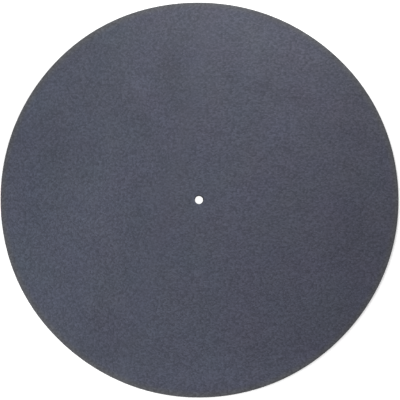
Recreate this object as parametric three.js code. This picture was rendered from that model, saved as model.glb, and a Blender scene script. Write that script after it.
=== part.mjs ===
// A turntable platter mat: one flat disc of dyed leather with a punched hole for the spindle.
// Lengths are in millimetres and +Z is up. The origin is on the underside, at the hole's centre.

import * as THREE from 'three';

// The disc covers a platter made for twelve-inch records.
const matDiameter = 300;
const matThickness = 2;

// The hole is made with a seven-millimetre punch, and the soft leather gives a little on the spindle.
const spindleHoleDiameter = 7;

// The knife enters from the grain side, which rolls the upper edges over. The lower ones stay sharper.
const upperRimRound = 0.4;
const lowerRimRound = 0.15;
const upperHoleRound = 0.3;

// Each round has this many flats, and the disc this many sides.
const flatsPerRound = 3;
const sidesAround = 180;

const rightAngle = Math.PI / 2;

// The colour and finish of the dyed leather's grain side.
const leather = new THREE.MeshStandardMaterial({
  name: 'slate_leather',
  color: new THREE.Color().setRGB(0.085, 0.09, 0.12),
  roughness: 0.62,
  metalness: 0,
});

// A quarter round of a section's corner, from one angle to the next, as points of the profile.
function quarterRound(centreX, centreY, radius, startAngle) {
  const points = [];
  for (let step = 0; step <= flatsPerRound; step += 1) {
    const angle = startAngle + (rightAngle * step) / flatsPerRound;
    const x = centreX + radius * Math.cos(angle);
    const y = centreY + radius * Math.sin(angle);
    points.push(new THREE.Vector2(x, y));
  }
  return points;
}

// The section is a long thin bar from the hole's wall to the rim, with three of its corners rounded.
// It runs anticlockwise from the lower corner at the hole, and closes there.
function matSection() {
  const rimRadius = matDiameter / 2;
  const holeRadius = spindleHoleDiameter / 2;
  const halfThickness = matThickness / 2;
  const lowerRim = Math.min(lowerRimRound, halfThickness);
  const upperRim = Math.min(upperRimRound, halfThickness);
  const upperHole = Math.min(upperHoleRound, halfThickness);
  const holeCorner = new THREE.Vector2(holeRadius, 0);
  return [
    holeCorner,
    ...quarterRound(rimRadius - lowerRim, lowerRim, lowerRim, -rightAngle),
    ...quarterRound(rimRadius - upperRim, matThickness - upperRim, upperRim, 0),
    ...quarterRound(holeRadius + upperHole, matThickness - upperHole, upperHole, rightAngle),
    holeCorner.clone(),
  ];
}

// The section is turned about the hole's axis, which is then stood up along Z.
function platterMat() {
  const disc = new THREE.Mesh(new THREE.LatheGeometry(matSection(), sidesAround), leather);
  disc.name = 'platter_mat';
  disc.rotation.x = rightAngle;
  return disc;
}

const turntableMat = new THREE.Group();
turntableMat.name = 'turntable_mat';
turntableMat.add(platterMat());

export default turntableMat;
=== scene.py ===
import math

import bpy
from mathutils import Matrix, Vector, noise


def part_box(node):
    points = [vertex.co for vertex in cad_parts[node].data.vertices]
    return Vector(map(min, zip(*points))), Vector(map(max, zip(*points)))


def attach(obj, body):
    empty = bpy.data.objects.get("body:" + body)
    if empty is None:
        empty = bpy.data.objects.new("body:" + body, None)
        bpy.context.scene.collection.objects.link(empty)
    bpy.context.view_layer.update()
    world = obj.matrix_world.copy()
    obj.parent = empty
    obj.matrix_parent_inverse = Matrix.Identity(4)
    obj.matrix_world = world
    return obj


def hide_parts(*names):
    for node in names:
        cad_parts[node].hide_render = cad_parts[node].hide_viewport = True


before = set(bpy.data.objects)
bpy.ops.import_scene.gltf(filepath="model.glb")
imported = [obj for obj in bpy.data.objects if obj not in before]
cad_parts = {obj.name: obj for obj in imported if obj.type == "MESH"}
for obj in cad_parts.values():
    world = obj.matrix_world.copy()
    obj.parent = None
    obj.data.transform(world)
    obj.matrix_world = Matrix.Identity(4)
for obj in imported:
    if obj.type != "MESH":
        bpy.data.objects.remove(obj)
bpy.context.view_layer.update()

# The view is from high above through a very long lens, with a slight lean towards the mat's lower edge
# that shows the round rim a trace narrower from top to bottom. Pixels are those of a square picture
# 400 wide, counted from its upper left corner.
scene = bpy.context.scene
upright = Vector((0, 0, 1))
picture_pixels = 400
rim_pixels = 398.4
rim_centre_pixels = Vector((199.26, 199.44))
sensor_width = 36
view_distance = 12.0
view_lean = math.radians(7.3)
lean_direction = Vector((-0.0708, -0.9975, 0))

mat_low, mat_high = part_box("platter_mat")
metres_per_pixel = (mat_high.x - mat_low.x) / rim_pixels

towards_camera = lean_direction * math.sin(view_lean) + upright * math.cos(view_lean)
picture_right = (Vector((1, 0, 0)) - towards_camera * towards_camera.x).normalized()
picture_up = towards_camera.cross(picture_right)
off_centre = (rim_centre_pixels - Vector((picture_pixels, picture_pixels)) / 2) * metres_per_pixel
aim = (mat_low + mat_high) / 2 - picture_right * off_centre.x + picture_up * off_centre.y

camera_data = bpy.data.cameras.new("mat_camera")
camera_data.sensor_width = sensor_width
camera_data.lens = sensor_width * view_distance / (metres_per_pixel * picture_pixels)
camera_data.clip_end = 2 * view_distance
camera = bpy.data.objects.new("mat_camera", camera_data)
turned = Matrix((picture_right, picture_up, towards_camera)).transposed().to_4x4()
camera.matrix_world = Matrix.Translation(aim + towards_camera * view_distance) @ turned
scene.collection.objects.link(camera)
scene.camera = camera
scene.view_settings.view_transform = "Standard"

# The floor is a wide sheet of matt white acrylic, lit a little from below as on a light table, so that
# it shows pure white and the mat casts hardly any shadow on it. It lies a hair under the mat's
# underside, so that the two don't share a plane.
floor_half_width = 15.0
floor_gap = 0.00002
floor_colour = (0.94, 0.94, 0.94, 1)
floor_roughness = 0.9
floor_gloss = 0.1
floor_glow = 0.46

square = ((-1, -1), (1, -1), (1, 1), (-1, 1))
floor_corners = [(x * floor_half_width, y * floor_half_width, -floor_gap) for x, y in square]
floor_mesh = bpy.data.meshes.new("white_floor")
floor_mesh.from_pydata(floor_corners, [], [(0, 1, 2, 3)])
acrylic = bpy.data.materials.new("white_acrylic")
acrylic.use_nodes = True
acrylic_surface = acrylic.node_tree.nodes["Principled BSDF"]
acrylic_surface.inputs["Base Color"].default_value = floor_colour
acrylic_surface.inputs["Roughness"].default_value = floor_roughness
acrylic_surface.inputs["Specular IOR Level"].default_value = floor_gloss
acrylic_surface.inputs["Emission Color"].default_value = (1, 1, 1, 1)
acrylic_surface.inputs["Emission Strength"].default_value = floor_glow
floor_mesh.materials.append(acrylic)
floor = bpy.data.objects.new("white_floor", floor_mesh)
scene.collection.objects.link(floor)

# The light is soft: a white sky that is brighter round the horizon, like a studio's white walls, a key
# lamp close beyond the mat's upper edge and a fill lamp beyond its lower left. A lamp's level is the
# light that it lays on a level surface at the hole, where 1 in all makes a white sheet come out white.
overhead_level = 0.36
horizon_level = 0.80
walls_top = 0.35
lamps = (
    # name, bearing from +X and height in degrees, distance, width, level
    ("key_lamp", 82, 39, 0.30, 0.25, 0.42),
    ("fill_lamp", 226, 42, 0.30, 0.35, 0.41),
)


class Shading:
    """An output in a tree of shader nodes. Arithmetic on it adds the Math nodes that work it out."""

    def __init__(self, tree, socket=None):
        self.tree = tree
        self.socket = socket

    def node(self, kind, settings, sockets):
        """Adds a node: first its settings, then what each of its sockets holds or is linked to."""
        made = self.tree.nodes.new(kind)
        for name, value in settings.items():
            setattr(made, name, value)
        for name, value in sockets.items():
            if isinstance(value, Shading):
                self.tree.links.new(value.socket, made.inputs[name])
            else:
                made.inputs[name].default_value = value
        return Shading(self.tree, made.outputs[0] if len(made.outputs) else None)

    def outlet(self, name):
        """Another output of the same node, by its name or its number."""
        return Shading(self.tree, self.socket.node.outputs[name])

    def maths(self, operation, first, second):
        return self.node("ShaderNodeMath", {"operation": operation}, {0: first, 1: second})

    def __add__(self, other):
        return self.maths("ADD", self, other)

    def __sub__(self, other):
        return self.maths("SUBTRACT", self, other)

    def __rsub__(self, other):
        return self.maths("SUBTRACT", other, self)

    def __mul__(self, other):
        return self.maths("MULTIPLY", self, other)

    __radd__ = __add__
    __rmul__ = __mul__


def dot(first, second):
    """How far a place lies along a direction."""
    product = first.node("ShaderNodeVectorMath", {"operation": "DOT_PRODUCT"}, {0: first, 1: second})
    return product.outlet("Value")


def rise(value, low, high):
    """0 up to low, 1 from high on, and a smooth rise between them."""
    limits = {"Value": value, "From Min": low, "From Max": high}
    return value.node("ShaderNodeMapRange", {"interpolation_type": "SMOOTHSTEP"}, limits)


sky = bpy.data.worlds.new("white_sky")
sky.use_nodes = True
sky.node_tree.nodes.clear()
sky_tree = Shading(sky.node_tree)
sky_direction = sky_tree.node("ShaderNodeTexCoord", {}, {})
above_walls = rise(dot(sky_direction, upright), 0.0, walls_top)
sky_level = horizon_level + (overhead_level - horizon_level) * above_walls
white_sky = sky_tree.node("ShaderNodeBackground", {}, {"Color": (1, 1, 1, 1), "Strength": sky_level})
sky_tree.node("ShaderNodeOutputWorld", {}, {"Surface": white_sky})
scene.world = sky

for name, bearing, height, distance, width, level in lamps:
    bearing = math.radians(bearing)
    height = math.radians(height)
    away = Vector((math.cos(bearing), math.sin(bearing), 0)) * math.cos(height) + upright * math.sin(height)
    lamp_data = bpy.data.lights.new(name, "AREA")
    lamp_data.size = width
    lamp_data.energy = level * math.pi ** 2 * distance ** 2 / math.sin(height)
    lamp = bpy.data.objects.new(name, lamp_data)
    lamp.location = away * distance
    lamp.rotation_mode = "QUATERNION"
    lamp.rotation_quaternion = away.to_track_quat("Z", "Y")
    lamp.visible_camera = False
    scene.collection.objects.link(lamp)

# The mat is one disc cut from a side of leather, about two millimetres thick, with the grain side up
# and the flesh side down. A knife cut the rim and a punch the hole, which rolls the grain side's edges
# over a little and leaves the lower edges sharp.
rim_radius = (mat_high.x - mat_low.x) / 2
thickness = mat_high.z - mat_low.z
hole_radius = min(vertex.co.xy.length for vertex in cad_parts["platter_mat"].data.vertices)

rim_roll = 0.0005
hole_roll = 0.00035
hole_taper = 0.0005
lower_round = 0.00015
roll_steps = 5
lower_steps = 2

grain_spacing = 0.0012
flesh_spacing = 0.0024
wall_spacing = 0.0003
fewest_sides = 48

# The disc lies in slow waves, which rise only at their crests. Its grain side swells and ripples, and
# the cut edge frays in layers.
wave_height, wave_length, wave_sharpness = 0.00018, 0.085, 1.5
swell_height, swell_length = 0.00004, 0.011
ripple_height, ripple_length = 0.000018, 0.0036
fray_depth, fray_length, fray_layer = 0.00007, 0.005, 0.0004

# The knife drifted in shallow swells round the rim: how many there are, how deep in metres, and where
# each has its first crest in degrees. The surface within follows the rim less and less.
knife_drifts = ((3, 0.00026, 29), (4, 0.00012, 116), (5, 0.00011, -90), (8, 0.00009, -143))
drift_fading = 6

# The punch leaned, so that the hole comes out a little off centre on the flesh side. The surface close
# round it there is drawn along.
punch_lean = Vector((-0.00026, -0.00036, 0))
lean_reach = 0.004

grain_side, cut_edge, flesh_side = range(3)


def arc(radius, height, size, first, last, steps):
    """Points of a round corner of the section, as (radius, height), with its angles in degrees."""
    angles = [math.radians(first + (last - first) * step / steps) for step in range(steps + 1)]
    return [(radius + size * math.cos(angle), height + size * math.sin(angle)) for angle in angles]


def between(start, end, spacing):
    """Points on a straight stretch of the section, without its ends, about spacing apart."""
    start, end = Vector(start), Vector(end)
    steps = max(1, round((end - start).length / spacing))
    return [tuple(start.lerp(end, step / steps)) for step in range(1, steps)]


rim_top = arc(rim_radius - rim_roll, thickness - rim_roll, rim_roll, 90, 0, roll_steps)
rim_foot = arc(rim_radius - lower_round, lower_round, lower_round, 0, -90, lower_steps)
foot_radius = hole_radius - hole_taper
hole_foot = arc(foot_radius + lower_round, lower_round, lower_round, -90, -180, lower_steps)
hole_top = arc(hole_radius + hole_roll, thickness - hole_roll, hole_roll, 180, 90, roll_steps)

# The section goes out along the grain side, down the rim, back along the flesh side and up the hole's
# wall. Each stretch gives the finish of its own surface and how far apart its points lie round the disc.
upper_face = [hole_top[-1]] + between(hole_top[-1], rim_top[0], grain_spacing)
rim_wall = [rim_top[-1]] + between(rim_top[-1], rim_foot[0], wall_spacing) + rim_foot[:-1]
lower_face = [rim_foot[-1]] + between(rim_foot[-1], hole_foot[0], flesh_spacing)
hole_wall = hole_foot + between(hole_foot[-1], hole_top[0], wall_spacing)
stretches = (
    (upper_face, grain_side, grain_spacing),
    (rim_top[:-1], grain_side, grain_spacing),
    (rim_wall, cut_edge, grain_spacing),
    (lower_face, flesh_side, flesh_spacing),
    (hole_wall, cut_edge, grain_spacing),
    (hole_top[:-1], grain_side, grain_spacing),
)


def lumps(x, y, z, length):
    """Soft noise from -1 to 1, whose lumps are about length across."""
    return noise.noise(Vector((x, y, z)) / length)


def placed(radius, height, turn, finish):
    """A point of the disc's surface, from its place on the section and its turn round the hole."""
    outward = Vector((math.cos(turn), math.sin(turn), 0))
    drift = 0
    for count, depth, crest in knife_drifts:
        drift += depth * math.cos(count * turn - math.radians(crest))
    radius += drift * (radius / rim_radius) ** drift_fading
    if finish == cut_edge:
        along = outward * rim_radius / fray_length
        radius -= fray_depth * abs(noise.noise(along + upright * height / fray_layer))
    leaned = max(0, 1 - max(0, radius - foot_radius) / lean_reach) * (1 - height / thickness)
    point = outward * radius + punch_lean * leaned
    lift = wave_height * max(0, lumps(point.x, point.y, 0, wave_length)) ** wave_sharpness
    if finish == grain_side:
        height += swell_height * lumps(point.x, point.y, swell_length, swell_length)
        height += ripple_height * lumps(point.x, point.y, ripple_length, ripple_length)
    return point + upright * (height + lift)


rings = []
points = []
for outline, finish, spacing in stretches:
    for radius, height in outline:
        sides = max(fewest_sides, round(2 * math.pi * radius / spacing))
        shift = len(rings) % 2 / 2
        rings.append((len(points), sides, shift, finish))
        turns = [2 * math.pi * (side + shift) / sides for side in range(sides)]
        points += [placed(radius, height, turn, finish) for turn in turns]


def band(ring, following):
    """The triangles between two rings that follow each other round the section."""
    first, sides, shift, _ = ring
    next_first, next_sides, next_shift, _ = following
    triangles = []
    side = next_side = 0
    while side < sides or next_side < next_sides:
        here = first + side % sides
        there = next_first + next_side % next_sides
        turn = (side + 1 + shift) / sides
        next_turn = (next_side + 1 + next_shift) / next_sides
        if next_side == next_sides or (side < sides and turn < next_turn):
            side += 1
            triangles.append((here, there, first + side % sides))
        else:
            next_side += 1
            triangles.append((here, there, next_first + next_side % next_sides))
    return triangles


faces = []
finishes = []
for ring, following in zip(rings, rings[1:] + rings[:1]):
    added = band(ring, following)
    faces += added
    finishes += [ring[-1]] * len(added)

disc_mesh = bpy.data.meshes.new("leather_disc")
disc_mesh.from_pydata(points, [], faces)
disc_mesh.polygons.foreach_set("material_index", finishes)
disc_mesh.shade_smooth()
disc = bpy.data.objects.new("leather_disc", disc_mesh)
scene.collection.objects.link(disc)


def vectors(operation, first, second):
    """Vector Math on two vectors, such as places or colours."""
    return first.node("ShaderNodeVectorMath", {"operation": operation}, {0: first, 1: second})


def scaled(vector, amount):
    """A vector, place or colour, times a number. Either of the two may vary over the surface."""
    varied = vector if isinstance(vector, Shading) else amount
    return varied.node("ShaderNodeVectorMath", {"operation": "SCALE"}, {0: vector, "Scale": amount})


def cloud(place, size, detail=2.0):
    """Cloudy noise from 0 to 1: lumps about size millimetres across, with detail layers of finer ones."""
    return place.node("ShaderNodeTexNoise", {}, {"Vector": place, "Scale": 1 / size, "Detail": detail})


def length(vector):
    """How long a vector is."""
    return vector.node("ShaderNodeVectorMath", {"operation": "LENGTH"}, {0: vector}).outlet("Value")


def blended(amount, first, second):
    """One colour passing into another as amount goes from 0 to 1."""
    factor, first_colour, second_colour, colour_result = 0, 6, 7, 2
    sockets = {factor: amount, first_colour: first, second_colour: second}
    return amount.node("ShaderNodeMix", {"data_type": "RGBA"}, sockets).outlet(colour_result)


# The finishes are measured in millimetres. Noise and the pebbles' own tones run from 0 to 1.
millimetres_per_metre = 1000.0
halfway = 0.5


def new_finish(name):
    """Adds a material with an empty tree to the disc, and gives the place on it in millimetres."""
    material = bpy.data.materials.new(name)
    material.use_nodes = True
    material.node_tree.nodes.clear()
    disc_mesh.materials.append(material)
    tree = Shading(material.node_tree)
    return scaled(tree.node("ShaderNodeTexCoord", {}, {}).outlet("Object"), millimetres_per_metre)


def surface(colour, roughness, relief, gloss):
    """Ends a finish: its colour, its roughness, its relief in millimetres and its even gloss."""
    heights = {"Strength": 1.0, "Distance": 1 / millimetres_per_metre, "Height": relief}
    bump = relief.node("ShaderNodeBump", {}, heights)
    sockets = {"Base Color": colour, "Roughness": roughness, "Normal": bump, "Specular IOR Level": gloss}
    shader = relief.node("ShaderNodeBsdfPrincipled", {}, sockets)
    relief.node("ShaderNodeOutputMaterial", {}, {"Surface": shader})


# The grain side is dyed dark slate blue and has a fine pebbled grain. The pebbles lie along the hide, up
# the disc towards its upper left and across it towards its lower right. Each took the dye a little
# differently, and the creases between them are darker: partly dye that lies deeper there and partly
# painted shade.
upward_pebble = (1.02, 1.16, 1)
across_pebble = (1.34, 0.92, 1)
lie_direction, lie_start, lie_end = (0.97, -0.235, 0), -36.0, -12.0
grain_wander, grain_wander_length, wander_detail = 1.0, 4.0, 1.0
pebble_softness = 0.25
pebble_depth, pucker_depth, pore_depth = 0.14, 0.03, 0.02
pore_length, pore_detail = 0.5, 3.0
crease_start, crease_end = 0.35, 0.80
dark_pebble, pale_pebble = (0.76, 0.76, 0.78), (1.24, 1.24, 1.22)
crease_dye_and_shade = 0.12
pucker, pucker_length, pucker_detail = 0.40, 2.0, 0.0
mottle, mottle_length = 0.20, 16.0
drape, drape_length = 0.08, 60.0
grain_roughness, crease_roughness, grain_gloss = 0.55, 0.10, 0.35

# The dye's hue drifts between a greener and a more violet slate, and less between a cooler and a warmer
# one. It leans to violet at the lower right and to warm at the right. Each drift starts elsewhere in the
# noise, so as not to follow the tone.
green_slate = (0.0600, 0.0707, 0.0952, 1)
violet_slate = (0.0668, 0.0667, 0.1048, 1)
cool_cast = (0.94, 1.00, 1.045, 1)
warm_cast = (1.06, 1.00, 0.955, 1)
violet_length, violet_detail = 34.0, 1.0
violet_start, violet_lean = (460, -610, 0), (0.0010, -0.0006, 0)
warm_length = 26.0
warm_start, warm_lean = (-150, 190, 0), (0.0015, 0.0009, 0)

# Towards the rim the slate turns a trace paler and greyer: painted light, thrown back from the white floor.
# At the rim itself the pebbles are worn away.
rim_floor_light_slate = (0.0790, 0.0815, 0.0905, 1)
rim_floor_light_width = 6.0
wear_width = 0.8

# Painted light and shade: lighter and darker patches that stand for light and shade on soft waves in the
# leather, in millimetres from the hole: the place of each, its half length and half width, which way it
# runs in degrees, and how much lighter it is than the rest. Their outlines wander. The last one is no
# shading but a short dark scuff.
mark_wander, mark_wander_length = 18.0, 26.0
wave_shading_and_scuff_marks = (
    (-20, 104, 36, 20, 90, -0.15),
    (-12, 74, 20, 14, 60, -0.08),
    (-44, 60, 24, 14, -35, -0.09),
    (-44, 90, 18, 11, -30, 0.13),
    (-118, 78, 44, 20, 50, 0.11),
    (-110, 34, 26, 16, 60, -0.07),
    (42, 124, 44, 26, -22, 0.05),
    (80, 112, 24, 14, -40, 0.08),
    (22, 91, 26, 9, -5, -0.09),
    (64, 81, 38, 11, -8, -0.09),
    (118, 78, 18, 14, 120, -0.06),
    (112, 50, 30, 16, 10, -0.07),
    (112, -30, 56, 20, 88, -0.08),
    (-80, -2, 68, 34, 68, 0.12),
    (-76, -104, 44, 34, 20, -0.14),
    (-52, -116, 30, 20, 0, -0.06),
    (16, -134, 60, 24, 0, 0.12),
    (60, -126, 36, 20, 25, 0.10),
    (20, 8, 60, 40, 0, 0.06),
    (60, 54, 34, 20, 20, 0.06),
    (82, -27, 7.5, 1.6, 73, -0.16),
)


def within(place, middle, along, half_length, half_width):
    """1 in the middle of a mark, fading to 0 at the outline of an ellipse that lies along a direction."""
    offset = vectors("SUBTRACT", place, middle)
    across = along.cross(upright)
    share = {"X": dot(offset, along / half_length), "Y": dot(offset, across / half_width)}
    return 1 - rise(length(place.node("ShaderNodeCombineXYZ", {}, share)), 0.0, 1.0)


def wandering(place, size, reach):
    """The place shifted by up to about half of reach, by a field whose lumps are size across."""
    field = cloud(place, size, wander_detail).outlet("Color")
    return vectors("ADD", place, scaled(vectors("SUBTRACT", field, (halfway, halfway, halfway)), reach))


def pebbled(place, size):
    """Pebbles of one size: how far each point is from its pebble's middle, and the pebble's own tone."""
    settings = {"voronoi_dimensions": "2D", "feature": "SMOOTH_F1"}
    sockets = {"Vector": vectors("DIVIDE", place, size), "Scale": 1.0, "Smoothness": pebble_softness}
    from_middle = place.node("ShaderNodeTexVoronoi", settings, sockets)
    red_part = (1, 0, 0)
    return from_middle, dot(from_middle.outlet("Color"), red_part)


place = new_finish("slate_leather")
strayed = wandering(place, grain_wander_length, grain_wander)
outlined = wandering(place, mark_wander_length, mark_wander)
lie = rise(dot(outlined, lie_direction), lie_start, lie_end)
upward, upward_tone = pebbled(strayed, upward_pebble)
across, across_tone = pebbled(strayed, across_pebble)
from_middle = upward * (1 - lie) + across * lie
pebble_tone = upward_tone * (1 - lie) + across_tone * lie
crease = rise(from_middle, crease_start, crease_end)
puckers = cloud(strayed, pucker_length, pucker_detail)
pores = cloud(place, pore_length, pore_detail)

# Painted shade: the creases between the pebbles are darker, partly from dye that lies deeper there.
tone = 1 - crease_dye_and_shade * crease + pucker * (puckers - halfway)
tone = tone + mottle * (cloud(place, mottle_length) - halfway)
tone = tone + drape * (cloud(place, drape_length) - halfway)
# Painted light and shade of soft waves in the leather, and one real dark scuff.
for x, y, half_length, half_width, turn, lighter in wave_shading_and_scuff_marks:
    along = Vector((math.cos(math.radians(turn)), math.sin(math.radians(turn)), 0))
    tone = tone + within(outlined, (x, y, 0), along, half_length, half_width) * lighter

violet = cloud(vectors("ADD", place, violet_start), violet_length, violet_detail) + dot(place, violet_lean)
warm = cloud(vectors("ADD", place, warm_start), warm_length) + dot(place, warm_lean)
slate = blended(violet, green_slate, violet_slate)
slate = vectors("MULTIPLY", slate, blended(warm, cool_cast, warm_cast))
from_hole = length(place)
rim_place = millimetres_per_metre * rim_radius
# Painted light: over the last few millimetres to the rim the slate turns paler and greyer.
slate = blended(rise(from_hole, rim_place - rim_floor_light_width, rim_place), slate, rim_floor_light_slate)
pebbled_part = 1 - rise(from_hole, rim_place - wear_width, rim_place)
pebble_tone = halfway + (pebble_tone - halfway) * pebbled_part
slate = vectors("MULTIPLY", slate, blended(pebble_tone, (*dark_pebble, 1), (*pale_pebble, 1)))
pebble_relief = pebble_depth * from_middle * from_middle * pebbled_part
grain_relief = pucker_depth * puckers + pore_depth * pores - pebble_relief
surface(scaled(slate, tone), grain_roughness + crease_roughness * crease, grain_relief, grain_gloss)

# The cut edge shows the hide's fibres in thin flat layers, dyed right through and a little darker than
# the grain side.
edge_slate = (0.046, 0.048, 0.058)
fibre_layering = (1, 1, 6)
fibre_length, fibre_detail = 1.2, 4.0
darkest_fibre, fibre_tone = 0.6, 0.8
edge_roughness, fibre_roughness, edge_gloss = 0.8, 0.1, 0.2
fibre_depth = 0.12

place = new_finish("cut_leather")
fibres = cloud(vectors("MULTIPLY", place, fibre_layering), fibre_length, fibre_detail)
edge_colour = scaled(edge_slate, darkest_fibre + fibre_tone * fibres)
surface(edge_colour, edge_roughness + fibre_roughness * fibres, fibre_depth * fibres, edge_gloss)

# The flesh side is plain suede: a short soft nap, paler and duller than the grain side.
suede_slate = (0.080, 0.085, 0.108)
nap_length, nap_detail = 0.6, 4.0
brushed_length, brushed_detail = 14.0, 3.0
darkest_nap, nap_tone, brushed_tone = 0.6, 0.5, 0.3
suede_roughness, nap_roughness, suede_gloss = 0.9, 0.1, 0.1
nap_depth = 0.10

place = new_finish("suede_leather")
nap = cloud(place, nap_length, nap_detail)
brushed = cloud(place, brushed_length, brushed_detail)
suede_colour = scaled(suede_slate, darkest_nap + nap_tone * nap + brushed_tone * brushed)
surface(suede_colour, suede_roughness + nap_roughness * nap, nap_depth * nap, suede_gloss)

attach(disc, "root")
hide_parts("platter_mat")
